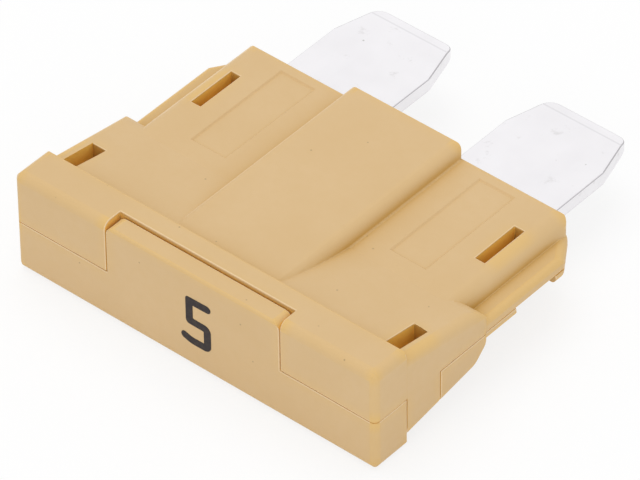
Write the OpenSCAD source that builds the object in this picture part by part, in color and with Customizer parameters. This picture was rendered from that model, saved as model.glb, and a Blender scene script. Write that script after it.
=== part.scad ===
// Plug-in blade fuse: two moulded half shells snapped together over one stamped fuse element.
// It lies flat: X runs across the blades, Y from the head to the blade tips, Z through the thickness.

/* [Housing] */
// Thickness of the head from face to face
head_thickness = 5.15; // [4.9:0.05:5.6]
// Length of the moulded body from the head end to the blade end
body_length = 13.4; // [13:0.1:15]
// Length of the full-thickness head band
head_length = 1.95; // [1.6:0.05:2.3]
// Thickness across the two chamber humps
hump_thickness = 4.3; // [4.1:0.02:4.7]
// Width of a chamber hump
hump_width = 6.1; // [5.4:0.1:6.6]
// Thickness across the flat flanks beside the humps
flank_thickness = 2.94; // [2.7:0.02:3.1]
// Step from a flank's side out to the shoulder's side
shoulder_step = 0.92; // [0.7:0.02:1.2]
// Step from a shoulder's side out to the head's side
head_step = 0.02; // [0.01:0.01:0.1]
// Length over which a shoulder slopes from hump height to flank height
slope_length = 4.25; // [3.6:0.05:5]
// Length of the wide shoulders from the head end
shoulder_length = 7.15; // [6.8:0.05:7.6]
// Distance from the joint plane to the slanted end of the base's shoulders
base_slant_drop = 0.3; // [0.1:0.05:0.4]
// Length of the slanted end of the base's shoulders
base_slant_length = 1.25; // [0.9:0.05:1.5]

/* [Edges] */
// Rounding of the head's front and side edges
head_edge = 0.4; // [0.32:0.02:0.5]
// Rounding of the head's upright corners
head_corner = 0.3; // [0.2:0.02:0.3]
// Radius of the ball over a head's corner, as a share of the corner's own reach
ball_share = 1.01; // [1.01:0.01:1.1]
// Rounding of the cover's head edge towards the blades
cover_crease = 0.1; // [0.05:0.01:0.2]
// Rounding of the base's head edge towards the blades
base_crease = 0.3; // [0.1:0.02:0.4]
// Rounding of the shoulders' long edges
shoulder_edge = 0.44; // [0.2:0.02:0.54]
// Rounding where the cover's shoulders end
cover_nose = 1.25; // [0.6:0.05:1.3]
// Rounding below the slanted ends of the base's shoulders
base_nose = 0.9; // [0.4:0.05:1.1]
// Rounding of the shoulders' upright corners
shoulder_corner = 0.35; // [0.1:0.05:0.6]
// Rounding of the flanks' long edges
flank_edge = 0.74; // [0.3:0.02:0.8]
// Rounding of the humps' long edges
hump_edge = 0.56; // [0.2:0.02:0.6]
// Fillet at the foot of a hump
hump_fillet = 0.1; // [0.06:0.01:0.14]
// Rounding of a hump's edge at the blade end
hump_end_edge = 0.1; // [0.06:0.02:0.2]
// Rounding of the flanks' edges at the blade end
end_edge = 0.24; // [0.1:0.02:0.4]
// Rounding of the upright corners at the blade end
end_corner = 0.4; // [0.2:0.05:0.7]

/* [Guide ledges] */
// Step from a flank's side out to the ledge's side
ledge_step = 0.86; // [0.5:0.02:0.9]
// Distance from the ledges' ends to the body's blade end
ledge_end_gap = 0.15; // [0.1:0.05:1.2]
// Length of the ledges' slanted ends
ledge_slant = 1.28; // [0.5:0.02:1.4]
// Height of the cover's ledge above the joint plane
cover_ledge = 0.62; // [0.4:0.02:0.68]
// Depth of the base's ledge below the joint plane
base_ledge = 0.46; // [0.42:0.02:0.6]
// Rounding of the ledges' long edges
ledge_edge = 0.28; // [0.04:0.02:0.32]
// Rounding of the slanted ends' edges
ledge_end_edge = 0.4; // [0.1:0.02:0.4]

/* [Front tab] */
// Width of the base's front tab
tab_width = 9.2; // [8:0.1:11]
// Depth of the tab behind the head's end face
tab_depth = 0.9; // [0.7:0.02:1.1]
// Drop of the tab's top below the head's face
tab_drop = 0.13; // [0.05:0.01:0.3]
// Rounding of the tab's upper corners
tab_corner = 0.4; // [0.1:0.05:0.6]
// Rounding of the tab's upper front edge
tab_edge = 0.12; // [0.05:0.01:0.2]
// Gap behind the tab
tab_gap = 0.09; // [0.05:0.01:0.15]

/* [Latches] */
// Length of a side tongue of the cover
tongue_length = 2.05; // [1.6:0.05:2.5]
// Thickness of a side tongue
tongue_thickness = 0.63; // [0.56:0.01:0.75]
// Width of the short slot inside a side tongue
short_slot_width = 0.72; // [0.5:0.02:0.85]
// Depth of the side tongue's catch below the joint plane
tongue_catch = 0.9; // [0.7:0.02:1]
// Height of the side tongue's hook
tongue_hook = 0.45; // [0.3:0.02:0.5]
// Distance from the long slot to the body's blade end
long_slot_end_gap = 1.97; // [1.6:0.01:2.4]
// Length of the long slot
long_slot_length = 2.5; // [2:0.05:2.9]
// Width of the long slot
long_slot_width = 0.49; // [0.4:0.01:0.6]
// Wall between the long slot and the flank's side
long_slot_wall = 0.82; // [0.7:0.01:0.9]
// Wall between the long slot and the blade root's seat
long_slot_inner_wall = 0.24; // [0.2:0.02:0.4]
// Thickness of the inner latch under the long slot's outer edge
latch_thickness = 0.34; // [0.3:0.02:0.4]
// Depth of the inner latch's catch below the joint plane
latch_catch = 0.6; // [0.5:0.02:0.64]
// Height of the inner latch's hook
latch_hook = 0.36; // [0.3:0.02:0.4]

/* [Label panels] */
// Width of a recessed label panel
label_width = 1.9; // [1.4:0.05:2]
// Distance from the slope's end to a label panel
label_start_gap = 0.9; // [0.2:0.05:1.5]
// Distance from a label panel to the body's blade end
label_end_gap = 0.6; // [0.4:0.1:1.5]
// Distance from a hump's side to a label panel
label_hump_gap = 1.33; // [1:0.01:1.6]
// Depth of a label panel
label_depth = 0.06; // [0.03:0.01:0.15]

/* [Fuse element] */
// Width of a blade
blade_width = 5.2; // [4.9:0.05:5.4]
// Thickness of the stamped sheet
blade_thickness = 0.65; // [0.5:0.05:0.8]
// Distance between the middles of the blades
blade_spacing = 9.3; // [9:0.05:9.6]
// Length of blade that stands out of the body
blade_reach = 6.3; // [5:0.1:8]
// Length of the tapered blade tip
taper_length = 2.35; // [1.5:0.05:3]
// Width of a blade at its tip
tip_width = 3.9; // [3:0.05:4.6]
// Rounding of the tip's corners
tip_corner = 0.5; // [0.1:0.05:0.9]
// Length of the coined bevel at the tip
tip_bevel = 0.55; // [0.2:0.05:0.9]
// Thickness left at the very tip
tip_thickness = 0.35; // [0.2:0.05:0.45]
// Distance from the head band to the blade roots
root_gap = 1.35; // [1:0.05:1.7]
// Step by which a blade root is narrower than the blade on its outer side
root_step = 0.2; // [0.1:0.02:0.4]
// Width of the fusible link
link_width = 0.5; // [0.3:0.05:0.7]
// Thickness of the fusible link
link_thickness = 0.3; // [0.15:0.05:0.4]
// Gap between the link's arch and a blade's inner edge
link_gap = 0.5; // [0.3:0.05:0.8]
// Distance from the blade roots' ends to the arch's centre
link_offset = 4.3; // [3:0.1:6]

/* [Fits] */
// Gap between the two shells at the joint line
joint_gap = 0.04; // [0.02:0.01:0.08]
// Clearance around tabs, tongues, latches, pegs and blades
fit_gap = 0.05; // [0.03:0.01:0.06]
// Wall of the chamber under the humps
chamber_wall = 0.75; // [0.6:0.05:0.85]
// Overlap of the chamber with each blade's inner edge
chamber_lap = 0.15; // [0.05:0.01:0.25]
// Wall at the blade end of the chamber
chamber_end_wall = 1.2; // [0.8:0.1:2]
// Diameter of a retaining peg through a blade root
peg_diameter = 1.6; // [1:0.1:2]
// Distance from a blade root's end to its peg's axis
peg_inset = 1.9; // [1.5:0.1:2.6]
// Height of a peg above the blade root
peg_height = 0.5; // [0.3:0.05:0.6]

/* [Hidden] */

$fn = 48;
arc_steps = 6;
overrun = 1;

total_length = body_length + blade_reach;
blade_inner = (blade_spacing - blade_width) / 2;
blade_outer = (blade_spacing + blade_width) / 2;
blade_half = blade_thickness / 2;
blade_middle = blade_spacing / 2;
root_outer = blade_outer - root_step;
root_start = head_length + root_gap;

long_slot_inner = root_outer + fit_gap + long_slot_inner_wall;
long_slot_outer = long_slot_inner + long_slot_width;
flank_side = long_slot_outer + long_slot_wall;
ledge_side = flank_side + ledge_step;
shoulder_side = flank_side + shoulder_step;
half_width = shoulder_side + head_step;
body_width = 2 * half_width;
head_half = head_thickness / 2;
hump_half = hump_thickness / 2;
flank_half = flank_thickness / 2;
slope_angle = atan((hump_half - flank_half) / slope_length);
slope_end = head_length + slope_length;
base_slant_end = shoulder_length - base_slant_length;
hump_side = hump_width / 2;
ball_radius = ball_share * (head_corner + sqrt(2) * (head_edge - head_corner));
tab_top = head_half - tab_drop;

tongue_start = head_length + fit_gap;
tongue_end = tongue_start + tongue_length;
tongue_inner = shoulder_side - tongue_thickness;
tongue_reach = short_slot_width / 2;
long_slot_end = body_length - long_slot_end_gap;
long_slot_start = long_slot_end - long_slot_length;
latch_reach = long_slot_width - 2 * fit_gap;
latch_bottom = latch_catch + latch_hook;

chamber_side = blade_inner + chamber_lap;
chamber_half = hump_half - chamber_wall;
chamber_end = body_length - chamber_end_wall;
peg_place = root_start + peg_inset;
peg_top = blade_half + peg_height;
label_inner = hump_side + label_hump_gap;

// Height of the shoulder's slope above the joint plane at a distance from the head end
function slope_height(place) = hump_half - (place - head_length) * tan(slope_angle);

// Along-and-up corners of the shoulders' ends, each with its rounding
cover_shoulder_end = [[shoulder_length, slope_height(shoulder_length), cover_nose]];
base_shoulder_end = [[shoulder_length, base_slant_drop, 0],
                     [base_slant_end, slope_height(base_slant_end), base_nose]];

function unit(v) = v / norm(v);

// Points of one corner of an outline, rounded by an arc that touches both sides
function corner_points(before, corner, after, radius) =
    radius == 0 ? [corner] :
    let (back = unit(before - corner),
         ahead = unit(after - corner),
         half_angle = acos(back * ahead) / 2,
         centre = corner + unit(back + ahead) * radius / sin(half_angle),
         first = corner + back * radius / tan(half_angle) - centre,
         turn = sign(cross(corner - before, after - corner)) * (180 - 2 * half_angle),
         first_angle = atan2(first.y, first.x))
    [for (i = [0:arc_steps])
        let (angle = first_angle + turn * i / arc_steps)
        centre + radius * [cos(angle), sin(angle)]];

// Closed outline through corners given as [across, up, radius]
module outline(corners) {
    count = len(corners);
    flat = [for (c = corners) [c[0], c[1]]];
    polygon([for (i = [0:count - 1])
        each corner_points(flat[(i + count - 1) % count], flat[i], flat[(i + 1) % count], corners[i][2])]);
}

// Stretches an across-and-up outline along the body
module along_body(start, end) {
    translate([0, end, 0])
        rotate([90, 0, 0])
            linear_extrude(end - start)
                children();
}

// Stretches an along-and-up outline across the body
module across_body() {
    rotate([90, 0, 90])
        linear_extrude(body_width + overrun, center = true)
            children();
}

// Stretches a plan outline through the thickness
module through_body() {
    linear_extrude(head_thickness + overrun, center = true)
        children();
}

module both_sides() {
    children();
    mirror([1, 0, 0])
        children();
}

// Block between two corners, each given as [x, y, z]
module block(low, high) {
    translate(low)
        cube(high - low);
}

// Moves a piece from the head end and joint plane to the part's own frame
module in_frame() {
    translate([0, -total_length / 2, head_half])
        children();
}

// Block with rounded long top edges, a rounded blade end and rounded plan corners
module raised_block(side, top, start, end, long_edge, far_edge, far_corner) {
    intersection() {
        along_body(start, end)
            outline([[-side, -overrun, 0], [side, -overrun, 0],
                     [side, top, long_edge], [-side, top, long_edge]]);
        across_body()
            outline([[start, -overrun, 0], [end, -overrun, 0], [end, top, far_edge], [start, top, 0]]);
        through_body()
            outline([[-side, start, 0], [side, start, 0], [side, end, far_corner], [-side, end, far_corner]]);
    }
}

// Trims the tips of the head's front corners to a ball
module ball_corners() {
    both_sides()
        translate([half_width - head_edge, head_edge, head_half - head_edge])
            difference() {
                translate([0, -overrun, 0])
                    cube(overrun);
                sphere(r = ball_radius);
            }
}

module head_block(rear_edge) {
    intersection() {
        across_body()
            outline([[0, -overrun, 0], [head_length, -overrun, 0],
                     [head_length, head_half, rear_edge], [0, head_half, head_edge]]);
        along_body(-overrun, head_length + overrun)
            outline([[-half_width, -overrun, 0], [half_width, -overrun, 0],
                     [half_width, head_half, head_edge], [-half_width, head_half, head_edge]]);
        through_body()
            outline([[-half_width, 0, head_corner], [half_width, 0, head_corner],
                     [half_width, head_length + overrun, 0], [-half_width, head_length + overrun, 0]]);
    }
}

// Wide part behind the head, with a sloping face and edges rounded along the slope
// Its end is given as the along-and-up corners from the joint plane to the slope
module shoulder_block(end_corners) {
    start = head_length / 2;
    intersection() {
        translate([0, head_length, hump_half])
            rotate([-slope_angle, 0, 0])
                along_body(-head_length, shoulder_length)
                    outline([[-shoulder_side, -head_thickness, 0], [shoulder_side, -head_thickness, 0],
                             [shoulder_side, 0, shoulder_edge], [-shoulder_side, 0, shoulder_edge]]);
        across_body()
            outline([[start, -overrun, 0], [shoulder_length, -overrun, 0],
                     each end_corners, [start, slope_height(start), 0]]);
        through_body()
            outline([[-shoulder_side, start, 0], [shoulder_side, start, 0],
                     [shoulder_side, shoulder_length, shoulder_corner],
                     [-shoulder_side, shoulder_length, shoulder_corner]]);
    }
}

// Space in front of one ledge's slanted end, up to the ledge's height
module slant_trim(end, height) {
    reach = body_width + total_length;
    translate([flank_side, end, 0])
        rotate([0, 0, atan(ledge_step / ledge_slant)])
            along_body(-reach, reach)
                outline([[-reach, -overrun, 0], [0, -overrun, 0],
                         [0, height, ledge_end_edge], [-reach, height, 0]]);
}

// Guide ledges along both flanks, with slanted ends
module ledge_block(height) {
    end = body_length - ledge_end_gap;
    intersection() {
        along_body(head_length / 2, end)
            outline([[-ledge_side, -overrun, 0], [ledge_side, -overrun, 0],
                     [ledge_side, height, ledge_edge], [-ledge_side, height, ledge_edge]]);
        slant_trim(end, height);
        mirror([1, 0, 0])
            slant_trim(end, height);
    }
}

// Concave fillets where a hump rises from the flat flanks
module hump_fillets() {
    foot = [hump_side, flank_half];
    both_sides()
        along_body(slope_end - hump_fillet / tan(slope_angle), body_length - end_edge)
            polygon([foot + [-hump_fillet, hump_fillet],
                     foot - [hump_fillet, hump_fillet],
                     foot + [hump_fillet, -hump_fillet],
                     each corner_points(foot + [hump_side, 0], foot, foot + [0, hump_side], hump_fillet)]);
}

// Outer form of one half of the housing above the joint plane
module half_body(ledge_height, crease, shoulder_end) {
    intersection() {
        union() {
            difference() {
                head_block(crease);
                ball_corners();
            }
            shoulder_block(shoulder_end);
            raised_block(flank_side, flank_half, head_length / 2, body_length,
                         flank_edge, end_edge, end_corner);
            ledge_block(ledge_height);
            raised_block(hump_side, hump_half, head_length / 2, body_length,
                         hump_edge, hump_end_edge, end_edge);
            hump_fillets();
        }
        block([-body_width, -overrun, joint_gap / 2], [body_width, total_length, head_thickness]);
    }
}

// Space for the base's front tab in the cover
module tab_notch() {
    notch_side = tab_width / 2 + fit_gap;
    block([-notch_side, -overrun, -overrun], [notch_side, tab_depth + tab_gap, head_thickness]);
}

module front_tab() {
    tab_side = tab_width / 2;
    intersection() {
        along_body(0, tab_depth)
            outline([[-tab_side, -tab_depth, 0], [tab_side, -tab_depth, 0],
                     [tab_side, tab_top, tab_corner], [-tab_side, tab_top, tab_corner]]);
        across_body()
            outline([[0, -head_half, 0], [head_length, -head_half, 0],
                     [head_length, tab_top, 0], [0, tab_top, tab_edge]]);
    }
}

// Cover's tongue that closes the side of the base, with its inward hook
module side_tongue() {
    intersection() {
        mirror([0, 0, 1])
            shoulder_block(base_shoulder_end);
        block([tongue_inner, tongue_start, -head_thickness],
              [body_width, tongue_end, head_half]);
    }
    along_body(tongue_start, tongue_end)
        polygon([[tongue_inner + tongue_thickness / 2, -tongue_catch],
                 [tongue_inner - tongue_reach, -tongue_catch],
                 [tongue_inner - tongue_reach, -tongue_catch - tongue_hook / 2],
                 [tongue_inner, -tongue_catch - tongue_hook],
                 [tongue_inner + tongue_thickness / 2, -tongue_catch - tongue_hook]]);
}

module tongue_seat() {
    seat_end = tongue_end + fit_gap;
    block([tongue_inner - fit_gap, head_length, -head_thickness], [body_width, seat_end, overrun]);
    block([tongue_inner - tongue_reach - fit_gap, head_length, -tongue_catch - tongue_hook - fit_gap],
          [tongue_inner, seat_end, fit_gap - tongue_catch]);
}

module short_slot() {
    block([tongue_inner - short_slot_width, tongue_start, -tongue_catch / 2],
          [tongue_inner, tongue_end, head_thickness]);
}

module long_slot() {
    block([long_slot_inner, long_slot_start, -latch_catch / 2],
          [long_slot_outer, long_slot_end, head_thickness]);
}

// Cover's hooked latch below the long slot's outer edge
module inner_latch() {
    along_body(long_slot_start + fit_gap, long_slot_end - fit_gap)
        polygon([[long_slot_outer, cover_ledge],
                 [long_slot_outer + latch_thickness, cover_ledge],
                 [long_slot_outer + latch_thickness, -latch_bottom],
                 [long_slot_outer, -latch_bottom],
                 [long_slot_outer - latch_reach, -latch_catch - latch_hook / 2],
                 [long_slot_outer - latch_reach, -latch_catch],
                 [long_slot_outer, -latch_catch]]);
}

module latch_pocket() {
    pocket_outer = long_slot_outer + latch_thickness + fit_gap;
    pocket_inner = long_slot_outer - latch_reach - fit_gap;
    along_body(long_slot_start, long_slot_end)
        polygon([[long_slot_outer - fit_gap, overrun],
                 [pocket_outer, overrun],
                 [pocket_outer, -latch_bottom - fit_gap],
                 [pocket_inner, -latch_bottom - fit_gap],
                 [pocket_inner, fit_gap - latch_catch],
                 [long_slot_outer - fit_gap, fit_gap - latch_catch]]);
}

// Break in the base's ledge beside the inner latch
module ledge_break() {
    block([flank_side, long_slot_start, -head_half],
          [body_width, long_slot_end, overrun]);
}

module label_panel() {
    block([label_inner, slope_end + label_start_gap, flank_half - label_depth],
          [label_inner + label_width, body_length - label_end_gap, head_half]);
}

// Seat of one blade, half in each shell, narrower along the blade's root
module blade_seat() {
    block([blade_inner - fit_gap, root_start - fit_gap, -blade_half],
          [root_outer + fit_gap, body_length + overrun, blade_half]);
    block([blade_middle, chamber_end - fit_gap, -blade_half],
          [blade_outer + fit_gap, body_length + overrun, blade_half]);
}

module chamber() {
    block([-chamber_side, root_start, -chamber_half],
          [chamber_side, chamber_end, chamber_half]);
}

// Upright round on the peg's axis, from one height to another
module peg_round(diameter, low, high) {
    translate([blade_middle, peg_place, low])
        cylinder(d = diameter, h = high - low);
}

module blade() {
    tip_side = tip_width / 2;
    difference() {
        intersection() {
            through_body()
                outline([[blade_inner, root_start, 0],
                         [root_outer, root_start, 0],
                         [root_outer, chamber_end, 0],
                         [blade_outer, chamber_end, 0],
                         [blade_outer, total_length - taper_length, 0],
                         [blade_middle + tip_side, total_length, tip_corner],
                         [blade_middle - tip_side, total_length, tip_corner],
                         [blade_inner, total_length - taper_length, 0]]);
            across_body()
                polygon([[0, -blade_half],
                         [total_length - tip_bevel, -blade_half],
                         [total_length, -tip_thickness / 2],
                         [total_length, tip_thickness / 2],
                         [total_length - tip_bevel, blade_half],
                         [0, blade_half]]);
        }
        peg_round(peg_diameter + 2 * fit_gap, -blade_thickness, blade_thickness);
    }
}

// Arched fusible link between the blade roots
module fusible_link() {
    link_outer = blade_inner - link_gap;
    link_inner = link_outer - link_width;
    translate([0, root_start + link_offset, 0])
        linear_extrude(link_thickness, center = true) {
            difference() {
                circle(r = link_outer);
                circle(r = link_inner);
                translate([-blade_outer, -blade_outer - link_width / 2])
                    square([2 * blade_outer, blade_outer]);
            }
            both_sides()
                translate([link_inner, -link_width])
                    square([blade_inner + link_width - link_inner, link_width]);
        }
}

module cover_shell() {
    color("burlywood")
        in_frame()
            difference() {
                union() {
                    half_body(cover_ledge, cover_crease, cover_shoulder_end);
                    both_sides()
                        side_tongue();
                    both_sides()
                        inner_latch();
                }
                tab_notch();
                chamber();
                both_sides() {
                    short_slot();
                    long_slot();
                    label_panel();
                    blade_seat();
                    peg_round(peg_diameter + 2 * fit_gap, 0, peg_top + fit_gap);
                }
            }
}

module base_shell() {
    color("tan")
        in_frame() {
            difference() {
                union() {
                    mirror([0, 0, 1])
                        half_body(base_ledge, base_crease, base_shoulder_end);
                    front_tab();
                }
                chamber();
                both_sides() {
                    tongue_seat();
                    latch_pocket();
                    ledge_break();
                    blade_seat();
                    mirror([0, 0, 1])
                        label_panel();
                }
            }
            both_sides()
                peg_round(peg_diameter, -flank_half / 2 - blade_half / 2, peg_top);
        }
}

module fuse_element() {
    color("gainsboro")
        in_frame() {
            both_sides()
                blade();
            fusible_link();
        }
}

cover_shell();
base_shell();
fuse_element();
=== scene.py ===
import bpy
import bmesh
import math
from mathutils import Matrix, Vector
from mathutils.bvhtree import BVHTree
from mathutils.geometry import intersect_point_line


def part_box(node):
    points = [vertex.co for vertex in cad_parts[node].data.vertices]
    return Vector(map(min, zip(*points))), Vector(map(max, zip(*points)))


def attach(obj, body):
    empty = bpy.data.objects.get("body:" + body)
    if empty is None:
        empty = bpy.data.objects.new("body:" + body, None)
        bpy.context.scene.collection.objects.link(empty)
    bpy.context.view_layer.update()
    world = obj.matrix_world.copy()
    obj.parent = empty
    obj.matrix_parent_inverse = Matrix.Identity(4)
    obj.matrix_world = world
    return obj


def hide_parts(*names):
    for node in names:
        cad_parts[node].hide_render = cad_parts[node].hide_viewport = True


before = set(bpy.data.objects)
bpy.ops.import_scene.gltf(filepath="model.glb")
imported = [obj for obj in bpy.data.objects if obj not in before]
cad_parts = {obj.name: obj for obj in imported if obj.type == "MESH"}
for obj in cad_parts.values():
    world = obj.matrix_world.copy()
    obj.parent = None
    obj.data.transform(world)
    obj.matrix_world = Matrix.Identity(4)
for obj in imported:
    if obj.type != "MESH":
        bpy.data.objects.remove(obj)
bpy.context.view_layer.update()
mm = 0.001
sameSpot = 1e-8           # metres: points closer than this are one
usualSpan = (0.3, 0.7)    # where most values of a noise field lie
fullSpan = (0.0, 1.0)
scene = bpy.context.scene
collection = scene.collection
print("frame loaded:", sorted(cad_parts))


# small helpers for the node trees
def newMaterial(name):
    material = bpy.data.materials.new(name)
    material.use_nodes = True
    tree = material.node_tree
    tree.nodes.clear()
    output = tree.nodes.new("ShaderNodeOutputMaterial")
    shader = tree.nodes.new("ShaderNodeBsdfPrincipled")
    tree.links.new(shader.outputs["BSDF"], output.inputs["Surface"])
    return material, tree, shader


def objectPlace(tree, stretch=(1, 1, 1)):
    place = tree.nodes.new("ShaderNodeTexCoord")
    mapping = tree.nodes.new("ShaderNodeMapping")
    mapping.inputs["Scale"].default_value = stretch
    tree.links.new(place.outputs["Object"], mapping.inputs["Vector"])
    return mapping.outputs["Vector"]


def noiseField(tree, place, scale, detail=3.0, roughness=0.55):
    noise = tree.nodes.new("ShaderNodeTexNoise")
    noise.inputs["Scale"].default_value = scale
    noise.inputs["Detail"].default_value = detail
    noise.inputs["Roughness"].default_value = roughness
    tree.links.new(place, noise.inputs["Vector"])
    return noise.outputs["Fac"]


def remap(tree, value, span, result):
    node = tree.nodes.new("ShaderNodeMapRange")
    node.inputs["From Min"].default_value, node.inputs["From Max"].default_value = span
    node.inputs["To Min"].default_value, node.inputs["To Max"].default_value = result
    tree.links.new(value, node.inputs["Value"])
    return node.outputs["Result"]


def joinValues(tree, how, first, second):
    node = tree.nodes.new("ShaderNodeMath")
    node.operation = how
    tree.links.new(first, node.inputs[0])
    if isinstance(second, float):
        node.inputs[1].default_value = second
    else:
        tree.links.new(second, node.inputs[1])
    return node.outputs[0]


def mixColours(tree, factor, first, second):
    node = tree.nodes.new("ShaderNodeMix")
    node.data_type = "RGBA"
    tree.links.new(factor, node.inputs["Factor"])
    for socket, colour in ((node.inputs["A"], first), (node.inputs["B"], second)):
        if isinstance(colour, tuple):
            socket.default_value = colour + (1.0,)
        else:
            tree.links.new(colour, socket)
    return node.outputs["Result"]


def addBump(tree, shader, height, strength, distance):
    bump = tree.nodes.new("ShaderNodeBump")
    bump.inputs["Strength"].default_value = strength
    bump.inputs["Distance"].default_value = distance
    tree.links.new(height, bump.inputs["Height"])
    tree.links.new(bump.outputs["Normal"], shader.inputs["Normal"])


# a few scattered round dots: 1 inside a dot, 0 outside
def scatteredDots(tree, place, scale, radius, chosenFrom):
    cells = tree.nodes.new("ShaderNodeTexVoronoi")
    cells.inputs["Scale"].default_value = scale
    tree.links.new(place, cells.inputs["Vector"])
    split = tree.nodes.new("ShaderNodeSeparateColor")
    tree.links.new(cells.outputs["Color"], split.inputs["Color"])
    core = 0.6 * radius   # from here a dot fades out
    near = remap(tree, cells.outputs["Distance"], (core, radius), (1.0, 0.0))
    chosen = joinValues(tree, "GREATER_THAN", split.outputs["Red"], chosenFrom)
    return joinValues(tree, "MULTIPLY", near, chosen)


# 1 where the piece closes in around a face within a reach, 0 where it is open: on the outer side that finds
# slots and grooves, on the inner side rolled edges and thin ledges; the plastic paints shade into the first
# and a glow into the second
def closePlaces(tree, reach, span, inside):
    shade = tree.nodes.new("ShaderNodeAmbientOcclusion")
    shade.samples = 12
    shade.only_local = True
    shade.inside = inside
    shade.inputs["Distance"].default_value = reach
    return remap(tree, shade.outputs["AO"], span, (1.0, 0.0))


# the value of a mark that the faces carry
def markedFaces(tree, mark):
    attribute = tree.nodes.new("ShaderNodeAttribute")
    attribute.attribute_name = mark
    return attribute.outputs["Fac"]


# reaches and heights in mm
tanPlasticLook = {
    "pale": (0.700, 0.490, 0.255), "deep": (0.675, 0.463, 0.228), "cloudScale": 230.0,
    "mottleScale": 2400.0, "mottleSpan": (0.35, 0.75), "mottleShare": 0.3,
    # painted glow: the golden colour of rolled edges and thin ledges, as light shining through thin plastic
    "thin": (0.750, 0.488, 0.175), "thinReach": 0.65, "thinSpan": (0.5, 0.95),
    "flatShare": 0.3,                 # how much of the painted glow faces take that aren't rolled
    # painted highlight: the lighter colour of the rounded outer edges
    "edge": (0.830, 0.630, 0.390), "paintedEdgeShare": 0.8,
    # painted shade for slots, grooves and inner corners
    "hollowShade": (0.600, 0.360, 0.085), "hollowReach": 1.4, "hollowSpan": (0.5, 0.97),
    "lowWallShare": 0.1,              # how much of the painted hollow shade low walls take
    # painted bounce light and shade on the walls of slots and of narrow seams
    "slot": (0.930, 0.575, 0.120), "seam": (0.840, 0.520, 0.140),
    "speck": (0.26, 0.17, 0.09), "speckShare": 0.5,
    "speckScale": 1500.0, "speckRadius": 0.075, "speckFrom": 0.72,
    "roughness": (0.46, 0.56), "gloss": 0.42,
    "grainScale": 9000.0, "grainStrength": 0.2, "grainHeight": 0.01,
}
closedMarks = {"open": 0.0, "slot": 0.5, "seam": 1.0}


def makeTanPlastic(look):
    material, tree, shader = newMaterial("tanPlastic")
    place = objectPlace(tree)
    cloud = noiseField(tree, place, look["cloudScale"], detail=2.0)
    mottle = noiseField(tree, place, look["mottleScale"])
    body = mixColours(tree, remap(tree, cloud, usualSpan, fullSpan), look["pale"], look["deep"])
    mottled = remap(tree, mottle, look["mottleSpan"], (0.0, look["mottleShare"]))
    body = mixColours(tree, mottled, body, look["deep"])
    # painted glow on the rolls and thin ledges, found from the inner side
    rolled = remap(tree, markedFaces(tree, "rolled"), fullSpan, (look["flatShare"], 1.0))
    thin = closePlaces(tree, look["thinReach"] * mm, look["thinSpan"], True)
    body = mixColours(tree, joinValues(tree, "MULTIPLY", thin, rolled), body, look["thin"])
    # painted highlight along the marked bevels and rolls
    band = joinValues(tree, "MULTIPLY", markedFaces(tree, "paintedEdgeBand"), look["paintedEdgeShare"])
    body = mixColours(tree, band, body, look["edge"])
    # painted shade: closed-in places on the outer side take a darker, deeper colour
    lowWalls = remap(tree, markedFaces(tree, "fineStep"), fullSpan, (1.0, look["lowWallShare"]))
    hollowShade = closePlaces(tree, look["hollowReach"] * mm, look["hollowSpan"], False)
    body = mixColours(tree, joinValues(tree, "MULTIPLY", hollowShade, lowWalls), body, look["hollowShade"])
    # painted bounce light and shade on the faces that another wall closes in
    closed = markedFaces(tree, "closedIn")
    inSlots = remap(tree, closed, (closedMarks["open"], closedMarks["slot"]), fullSpan)
    inSeams = remap(tree, closed, (closedMarks["slot"], closedMarks["seam"]), fullSpan)
    body = mixColours(tree, inSlots, body, look["slot"])
    body = mixColours(tree, inSeams, body, look["seam"])
    dots = scatteredDots(tree, place, look["speckScale"], look["speckRadius"], look["speckFrom"])
    body = mixColours(tree, joinValues(tree, "MULTIPLY", dots, look["speckShare"]), body, look["speck"])
    tree.links.new(body, shader.inputs["Base Color"])
    tree.links.new(remap(tree, mottle, usualSpan, look["roughness"]), shader.inputs["Roughness"])
    shader.inputs["Specular IOR Level"].default_value = look["gloss"]
    grain = noiseField(tree, place, look["grainScale"], detail=2.0)
    addBump(tree, shader, grain, look["grainStrength"], look["grainHeight"] * mm)
    return material


platedMetalLook = {
    "bright": (0.915, 0.900, 0.920), "dull": (0.865, 0.850, 0.870),
    "cloudScale": 420.0, "cloudSpan": (0.35, 0.7), "dullShare": 0.8,
    # painted shade: the dark lines along the blade rims
    "edge": (0.420, 0.405, 0.420), "paintedEdgeShare": 0.8,
    "stain": (0.620, 0.600, 0.600), "stainScale": 1300.0, "stainSpan": (0.62, 0.74), "stainShare": 0.4,
    "pit": (0.30, 0.28, 0.25), "pitShare": 0.5,
    "pitScale": 1250.0, "pitRadius": 0.07, "pitFrom": 0.55,
    "lineStretch": (5.0, 0.35, 1.0),     # rolling lines are drawn out along the blades
    "lineScale": 700.0, "lineStrength": 0.1, "lineHeight": 0.005,    # mm
    "roughness": (0.30, 0.42),
}


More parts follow.
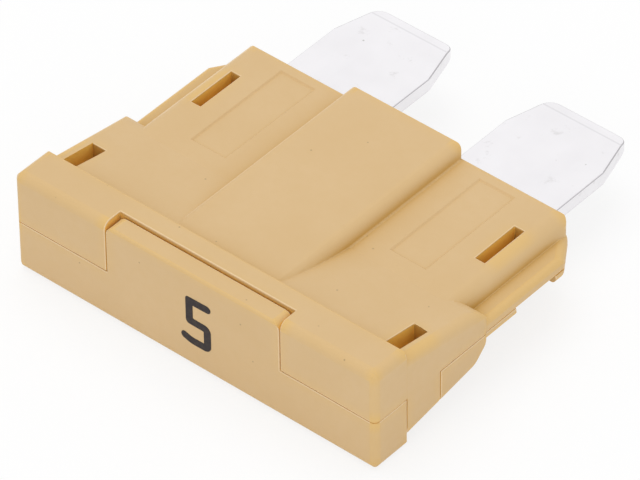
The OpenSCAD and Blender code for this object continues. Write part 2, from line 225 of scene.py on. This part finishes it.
def makePlatedMetal(look):
    material, tree, shader = newMaterial("platedMetal")
    place = objectPlace(tree)
    drawnOut = objectPlace(tree, look["lineStretch"])
    cloud = noiseField(tree, place, look["cloudScale"], detail=2.0)
    lines = noiseField(tree, drawnOut, look["lineScale"], detail=4.0, roughness=0.65)
    dulled = remap(tree, cloud, look["cloudSpan"], (0.0, look["dullShare"]))
    body = mixColours(tree, dulled, look["bright"], look["dull"])
    # painted shade: dark lines along the marked blade rims
    band = joinValues(tree, "MULTIPLY", markedFaces(tree, "paintedEdgeBand"), look["paintedEdgeShare"])
    body = mixColours(tree, band, body, look["edge"])
    stains = noiseField(tree, place, look["stainScale"], detail=4.0, roughness=0.7)
    stained = remap(tree, stains, look["stainSpan"], (0.0, look["stainShare"]))
    body = mixColours(tree, stained, body, look["stain"])
    dots = scatteredDots(tree, place, look["pitScale"], look["pitRadius"], look["pitFrom"])
    body = mixColours(tree, joinValues(tree, "MULTIPLY", dots, look["pitShare"]), body, look["pit"])
    tree.links.new(body, shader.inputs["Base Color"])
    shader.inputs["Metallic"].default_value = 1.0
    tree.links.new(remap(tree, lines, usualSpan, look["roughness"]), shader.inputs["Roughness"])
    addBump(tree, shader, lines, look["lineStrength"], look["lineHeight"] * mm)
    return material


inkLook = {
    "dense": (0.026, 0.018, 0.019), "thin": (0.056, 0.044, 0.038),
    "grainScale": 5200.0, "grainSpan": (0.4, 0.75),
    "grainStrength": 0.2, "grainHeight": 0.006,    # mm
    "roughness": (0.5, 0.65), "gloss": 0.25,
}


def makeInk(look):
    material, tree, shader = newMaterial("printedInk")
    place = objectPlace(tree)
    grain = noiseField(tree, place, look["grainScale"])
    body = mixColours(tree, remap(tree, grain, look["grainSpan"], fullSpan), look["dense"], look["thin"])
    tree.links.new(body, shader.inputs["Base Color"])
    tree.links.new(remap(tree, grain, usualSpan, look["roughness"]), shader.inputs["Roughness"])
    shader.inputs["Specular IOR Level"].default_value = look["gloss"]
    addBump(tree, shader, grain, look["grainStrength"], look["grainHeight"] * mm)
    return material


tanPlastic = makeTanPlastic(tanPlasticLook)
platedMetal = makePlatedMetal(platedMetalLook)
printedInk = makeInk(inkLook)
print("materials made")


def addPiece(name, mesh, material):
    piece = bpy.data.objects.new(name, mesh)
    collection.objects.link(piece)
    mesh.materials.clear()
    mesh.materials.append(material)
    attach(piece, "root")
    return piece


def edgeDistance(point, edge):
    start, end = (corner.co for corner in edge.verts)
    share = intersect_point_line(point, start, end)[1]
    return (point - start.lerp(end, min(max(share, 0.0), 1.0))).length


# an edge can be rounded where no other border of its two faces runs close beside it
def hasRoom(edge, room):
    for face in edge.link_faces:
        for other in face.edges:
            if set(edge.verts) & set(other.verts):
                continue
            gaps = [edgeDistance(corner.co, other) for corner in edge.verts]
            gaps += [edgeDistance(corner.co, edge) for corner in other.verts]
            if min(gaps) < room:
                return False
    return True


# above zero where a face bulges out over its neighbours, below zero in an inner corner
def bulge(face):
    return sum(edge.calc_length() * edge.calc_face_angle_signed(0.0) for edge in face.edges)


# twice the area over the outline: the width of a long facet
def facetWidth(face):
    return 2 * face.calc_area() / face.calc_perimeter()


# narrow facets that bend a little into their neighbours belong to a rounded surface
def isRounded(face, look):
    least, most = (math.radians(angle) for angle in look["softBend"])
    soft = sum(edge.calc_length() for edge in face.edges if least < abs(edge.calc_face_angle(0.0)) < most)
    narrow = facetWidth(face) < look["facet"] * mm
    return narrow and soft > look["softShare"] * face.calc_perimeter()


# the marks that the plastic and the metal read, and one for level faces
def addMarks(work):
    marks = {name: work.faces.layers.float.new(name) for name in ("paintedEdgeBand", "fineStep", "rolled")}
    marks["levelFace"] = work.faces.layers.int.new("levelFace")
    return marks


# tells level faces from rolled ones, finds the low walls around the label panels, and marks the rolls on the
# far side for a painted highlight
def markFaces(work, marks, look):
    for face in work.faces:
        curved = isRounded(face, look)
        rolled = curved and bulge(face) > 0.0
        low = not curved and facetWidth(face) < look["fineWall"] * mm
        lit = rolled and face.normal.x < look["bandSide"]
        face[marks["levelFace"]] = 0 if curved else 1
        face[marks["rolled"]] = 1.0 if rolled else 0.0
        face[marks["paintedEdgeBand"]] = look["sideHighlight"] if lit else 0.0
        face[marks["fineStep"]] = 1.0 if low else 0.0


# slopes the low walls around each shallow panel in to its floor
def slopePanels(work, fine, run):
    sloped = set()
    for floor in work.faces:
        walls = [next(other for other in edge.link_faces if other is not floor) for edge in floor.edges]
        if floor[fine] or not all(wall[fine] for wall in walls):
            continue
        shifts = {corner: Vector() for corner in floor.verts}
        for edge, wall in zip(floor.edges, walls):
            for corner in edge.verts:
                shifts[corner] += wall.normal * run
        for corner, shift in shifts.items():
            corner.co += shift
        sloped.update(walls)
    work.normal_update()
    return sloped


# rounds the sharp edges that have room for it, and marks the new faces along the outer ones for a painted
# edge band: a highlight on the shells, dark lines on the blade rims
def roundEdges(work, marks, look, sloped):
    width = look["width"] * mm
    sharpFrom = math.radians(look["fromAngle"])
    sharp = [edge for edge in work.edges
             if len(edge.link_faces) == 2 and edge.calc_face_angle(0.0) > sharpFrom
             and edge.calc_length() > look["shortest"] * mm and not sloped & set(edge.link_faces)
             and hasRoom(edge, look["room"] * width)]
    rounded = bmesh.ops.bevel(work, geom=sharp, offset=width, offset_type="OFFSET",
                              segments=look["segments"], profile=0.5, affect="EDGES", clamp_overlap=False)
    for face in rounded["faces"]:
        tilt = abs(face.normal.z)
        mark = 1.0 if look["bandFrom"] <= tilt <= look["bandTo"] else 0.0
        mark = look["bandFaint"] if look["bandTo"] < tilt < look["levelTilt"] else mark
        face[marks["paintedEdgeBand"]] = mark if bulge(face) > 0.0 else 0.0
        face[marks["fineStep"]] = 0.0
        face[marks["levelFace"]] = 0


# parts the walls that face the front at the tab's top: above it they are open, below it closed in
def partFrontWalls(work, height):
    walls = [face for face in work.faces if face.normal.y < -0.9]
    borders = {edge for face in walls for edge in face.edges}
    corners = {corner for face in walls for corner in face.verts}
    level = Vector((0.0, 0.0, height))
    bmesh.ops.bisect_plane(work, geom=walls + list(borders) + list(corners), dist=sameSpot,
                           plane_co=level, plane_no=level)


# cuts long facets into short ones, so that each is shaded by its own neighbours
def cutGrid(work, step):
    for across in (Vector((1.0, 0.0, 0.0)), Vector((0.0, 1.0, 0.0))):
        places = [corner.co.dot(across) for corner in work.verts]
        place = min(places) + step / 2
        while place < max(places):
            parts = work.verts[:] + work.edges[:] + work.faces[:]
            bmesh.ops.bisect_plane(work, geom=parts, dist=sameSpot, plane_co=across * place, plane_no=across)
            place += step


# level faces are shaded level, and rounded ones run smoothly into them
def shadedNormals(work, level, smoothAngle):
    limit = math.cos(math.radians(smoothAngle))
    normals = []
    for face in work.faces:
        for loop in face.loops:
            if face[level]:
                normals.append(face.normal.copy())
                continue
            near = [other for other in loop.vert.link_faces if other.normal.dot(face.normal) > limit]
            near = [other for other in near if other[level]] or near
            mean = sum((other.normal * other.calc_area() for other in near), Vector())
            normals.append(mean.normalized() if mean.length > 0.0 else face.normal.copy())
    return normals


# the moulded shells and the stamped element: copies of the solids with their sharp edges rounded
def softenedCopy(nodeName, look):
    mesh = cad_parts[nodeName].data.copy()
    work = bmesh.new()
    work.from_mesh(mesh)
    marks = addMarks(work)
    weld = look["weld"] * mm
    flat = math.radians(look["flatAngle"])
    bmesh.ops.remove_doubles(work, verts=work.verts, dist=weld)
    bmesh.ops.dissolve_limit(work, angle_limit=flat, verts=work.verts, edges=work.edges)
    markFaces(work, marks, look)
    sloped = slopePanels(work, marks["fineStep"], look["panelRun"] * mm)
    roundEdges(work, marks, look, sloped)
    partFrontWalls(work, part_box("base_shell")[1][2])
    cutGrid(work, look["grid"] * mm)
    bmesh.ops.triangulate(work, faces=work.faces)
    bmesh.ops.dissolve_degenerate(work, dist=weld, edges=work.edges)
    bmesh.ops.triangulate(work, faces=work.faces)
    for face in work.faces:
        face.smooth = True
    normals = shadedNormals(work, marks["levelFace"], look["smoothAngle"])
    work.to_mesh(mesh)
    work.free()
    mesh.normals_split_custom_set(normals)
    return mesh


# lengths in mm, angles in degrees
shellEdge = {
    "weld": 0.0001, "flatAngle": 0.4,
    "facet": 0.25, "softBend": (0.5, 25.0), "softShare": 0.5,    # what counts as rounded
    "fineWall": 0.09, "panelRun": 0.07,                          # low walls, and how far they slope in
    "fromAngle": 30.0, "shortest": 0.1, "width": 0.045, "room": 1.5, "segments": 3,
    "bandFrom": 0.0, "bandTo": 1.0, "bandFaint": 0.0, "levelTilt": 0.9995,
    "bandSide": -0.45, "sideHighlight": 0.55,                         # rolls on the far side get a painted highlight
    "grid": 0.5, "smoothAngle": 35.0,
}
bladeEdge = dict(shellEdge, fromAngle=12.0, shortest=0.0, fineWall=0.0, panelRun=0.0,
                 bandFrom=0.2, bandTo=0.96, bandFaint=0.25, bandSide=-1.0)

shells = []
for nodeName, pieceName, edgeLook, material, slotName in (
        ("cover_shell", "coverShell", shellEdge, tanPlastic, "housing"),
        ("base_shell", "baseShell", shellEdge, tanPlastic, "housing"),
        ("fuse_element", "fuseElement", bladeEdge, platedMetal, "plated_metal")):
    piece = addPiece(pieceName, softenedCopy(nodeName, edgeLook), material)
    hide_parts(nodeName)
    if slotName == "housing":
        shells.append(piece)
    print(pieceName, "has", len(piece.data.polygons), "faces")

closedLook = {"reach": 0.8, "seam": 0.2, "lift": 0.001}    # mm


# marks the faces with another wall close in front of them, in slots and in narrow seams, where the plastic
# paints bounce light and shade
def markClosedIn(pieces, look):
    walls = []
    for piece in pieces:
        mesh = piece.data
        corners = [v.co for v in mesh.vertices]
        walls.append(BVHTree.FromPolygons(corners, [tuple(f.vertices) for f in mesh.polygons]))
    for piece in pieces:
        mark = piece.data.attributes.new("closedIn", "FLOAT", "FACE")
        for face in piece.data.polygons:
            start = face.center + face.normal * look["lift"] * mm
            hits = [wall.ray_cast(start, face.normal, look["reach"] * mm) for wall in walls]
            gaps = [hit[3] for hit in hits if hit[0] and hit[1].dot(face.normal) < -0.5]
            kind = "open"
            if gaps:
                kind = "seam" if min(gaps) < look["seam"] * mm else "slot"
            mark.data[face.index].value = closedMarks[kind]


markClosedIn(shells, closedLook)
print("slots and seams marked")


# the printed figure on the front tab, a thin layer of ink
# each corner of the stroke's middle line: across, up, outer and inner radius, in mm
figure = {
    "stroke": 0.375,
    "layer": 0.012,
    "corners": [
        (0.80, 3.62, 0, 0),
        (-0.16, 3.60, 0.14, 0.02),
        (-0.16, 2.53, 0.20, 0.06),
        (0.785, 2.52, 0.33, 0.05),
        (0.785, 1.50, 0.36, 0.05),
        (-0.08, 1.49, 1.2, 0.85),
        (-0.43, 1.60, 0, 0),
    ],
    "arcSteps": 8,
}


# the two borders of a stroke, point for point, with round ends and rounded corners
def strokeBorders(look):
    half = look["stroke"] / 2
    steps = look["arcSteps"]
    points = [Vector(corner[:2]) for corner in look["corners"]]
    ways = [(b - a).normalized() for a, b in zip(points, points[1:])]
    sides = [Vector((-way.y, way.x)) for way in ways]
    left, right = [], []
    for k in range(steps + 1):   # first end, a half circle
        turn = math.pi / 2 * k / steps
        out = -ways[0] * math.cos(turn) * half
        left.append(points[0] + out + sides[0] * math.sin(turn) * half)
        right.append(points[0] + out - sides[0] * math.sin(turn) * half)
    for i in range(1, len(points) - 1):
        outer, inner = look["corners"][i][2:]
        turn = ways[i - 1].angle_signed(ways[i])   # above zero turns clockwise
        inward = -1.0 if turn > 0 else 1.0
        bend = abs(turn)
        bisector = (ways[i] - ways[i - 1]).normalized()
        reach = 1.0 / math.cos(bend / 2)
        outerTip = points[i] - bisector * half * reach
        innerTip = points[i] + bisector * half * reach
        outerMiddle = outerTip + bisector * outer * reach
        innerMiddle = innerTip + bisector * inner * reach
        for k in range(steps + 1):
            part = bend * k / steps
            normal = sides[i - 1] * inward
            normal = normal * math.cos(part) - ways[i - 1] * math.sin(part)
            outerPoint = outerMiddle - normal * outer
            innerPoint = innerMiddle - normal * inner
            left.append(innerPoint if inward > 0 else outerPoint)
            right.append(outerPoint if inward > 0 else innerPoint)
    for k in range(steps + 1):   # last end
        turn = math.pi / 2 * (1 - k / steps)
        out = ways[-1] * math.cos(turn) * half
        left.append(points[-1] + out + sides[-1] * math.sin(turn) * half)
        right.append(points[-1] + out - sides[-1] * math.sin(turn) * half)
    return left, right


def makeFigure(look):
    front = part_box("base_shell")[0][1]
    left, right = strokeBorders(look)
    work = bmesh.new()

    def layerOf(depth):
        return [[work.verts.new((p.x * mm, depth, p.y * mm)) for p in border] for border in (left, right)]

    top = layerOf(front - look["layer"] * mm)
    foot = layerOf(front)
    for i in range(len(left) - 1):
        a, b, c, d = top[0][i], top[1][i], top[1][i + 1], top[0][i + 1]
        e, f, g, h = foot[0][i], foot[1][i], foot[1][i + 1], foot[0][i + 1]
        for corners in ((a, b, c, d), (h, g, f, e), (a, d, h, e), (b, f, g, c)):
            work.faces.new(corners)
    bmesh.ops.remove_doubles(work, verts=work.verts, dist=sameSpot)
    bmesh.ops.dissolve_degenerate(work, edges=work.edges, dist=sameSpot)
    bmesh.ops.recalc_face_normals(work, faces=work.faces)
    mesh = bpy.data.meshes.new("ratingFigure")
    work.to_mesh(mesh)
    work.free()
    return addPiece("ratingFigure", mesh, printedInk)


makeFigure(figure)
print("printed figure made")


# 1 for what the camera, reflections and see-through rays meet, else 0
def seenRays(tree):
    path = tree.nodes.new("ShaderNodeLightPath")
    seen = joinValues(tree, "MAXIMUM", path.outputs["Is Camera Ray"], path.outputs["Is Glossy Ray"])
    return joinValues(tree, "MAXIMUM", seen, path.outputs["Is Transmission Ray"])


# lengths in mm
floorLook = {"size": 900.0, "below": 0.01, "white": (0.97, 0.97, 0.97), "roughness": 0.9, "whiteShare": 0.8}


def makeFloor(look):
    mesh = bpy.data.meshes.new("floor")
    half = look["size"] * mm / 2
    corners = [(-half, -half), (half, -half), (half, half), (-half, half)]
    mesh.from_pydata([(x, y, -look["below"] * mm) for x, y in corners], [], [(0, 1, 2, 3)])
    floor = bpy.data.objects.new("floor", mesh)
    collection.objects.link(floor)
    material, tree, shader = newMaterial("paleFloor")
    shader.inputs["Base Color"].default_value = look["white"] + (1.0,)
    shader.inputs["Roughness"].default_value = look["roughness"]
    shader.inputs["Specular IOR Level"].default_value = 0.0
    glow = tree.nodes.new("ShaderNodeEmission")
    mix = tree.nodes.new("ShaderNodeMixShader")
    tree.links.new(joinValues(tree, "MULTIPLY", seenRays(tree), look["whiteShare"]), mix.inputs[0])
    tree.links.new(shader.outputs["BSDF"], mix.inputs[1])
    tree.links.new(glow.outputs[0], mix.inputs[2])
    output = next(node for node in tree.nodes if node.type == "OUTPUT_MATERIAL")
    tree.links.new(mix.outputs[0], output.inputs["Surface"])
    mesh.materials.append(material)


makeFloor(floorLook)

# places and sizes in metres, powers in watts
studio = {
    "ambient": 0.70,
    "keyPower": 0.62, "keySize": 0.4, "keyPlace": (-0.10, 0.06, 0.42),
    "fillPower": 0.30, "fillSize": 0.4, "fillPlace": (0.24, -0.32, 0.16),
}


# a soft light for the object, and plain white where the world itself is seen
def makeWorld(look):
    world = bpy.data.worlds.new("studioWorld")
    scene.world = world
    world.use_nodes = True
    tree = world.node_tree
    tree.nodes.clear()
    output = tree.nodes.new("ShaderNodeOutputWorld")
    mix = tree.nodes.new("ShaderNodeMixShader")
    tree.links.new(seenRays(tree), mix.inputs[0])
    for socket, strength in ((mix.inputs[1], look["ambient"]), (mix.inputs[2], 1.0)):
        light = tree.nodes.new("ShaderNodeBackground")
        light.inputs["Color"].default_value = (1, 1, 1, 1)
        light.inputs["Strength"].default_value = strength
        tree.links.new(light.outputs[0], socket)
    tree.links.new(mix.outputs[0], output.inputs["Surface"])


def addLamp(name, place, size, power):
    lamp = bpy.data.lights.new(name, "AREA")
    lamp.shape = "DISK"
    lamp.size = size
    lamp.energy = power
    holder = bpy.data.objects.new(name, lamp)
    holder.location = place
    holder.visible_glossy = False
    holder.rotation_euler = (-Vector(place)).to_track_quat("-Z", "Y").to_euler()
    collection.objects.link(holder)


makeWorld(studio)
addLamp("softKey", studio["keyPlace"], studio["keySize"], studio["keyPower"])
addLamp("softFill", studio["fillPlace"], studio["fillSize"], studio["fillPower"])

# lengths in mm, angles in degrees
cameraSetup = {
    "target": (0.807, -2.902, 2.633),
    "distance": 274.00,
    "azimuth": 40.911,
    "elevation": 41.568,
    "roll": -0.750,
    "focalPixels": 6740.0,
    "imageWidth": 640.0,
}


def makeCamera(look):
    around, up = math.radians(look["azimuth"]), math.radians(look["elevation"])
    back = Vector((math.sin(around) * math.cos(up), -math.cos(around) * math.cos(up), math.sin(up)))
    across = Vector((math.cos(around), math.sin(around), 0))
    above = back.cross(across)
    turn = math.radians(look["roll"])
    imageRight = across * math.cos(turn) + above * math.sin(turn)
    imageUp = above * math.cos(turn) - across * math.sin(turn)
    spot = Vector(look["target"]) * mm + back * look["distance"] * mm
    lens = bpy.data.cameras.new("photoCamera")
    lens.sensor_fit = "HORIZONTAL"
    lens.sensor_width = 36.0
    lens.lens = look["focalPixels"] / look["imageWidth"] * lens.sensor_width
    lens.clip_start = 0.01
    lens.clip_end = 10.0
    holder = bpy.data.objects.new("photoCamera", lens)
    turned = Matrix((imageRight, imageUp, back)).transposed().to_4x4()
    holder.matrix_world = Matrix.Translation(spot) @ turned
    collection.objects.link(holder)
    scene.camera = holder


makeCamera(cameraSetup)
scene.view_settings.view_transform = "Standard"
print("stage, lamps and camera made")
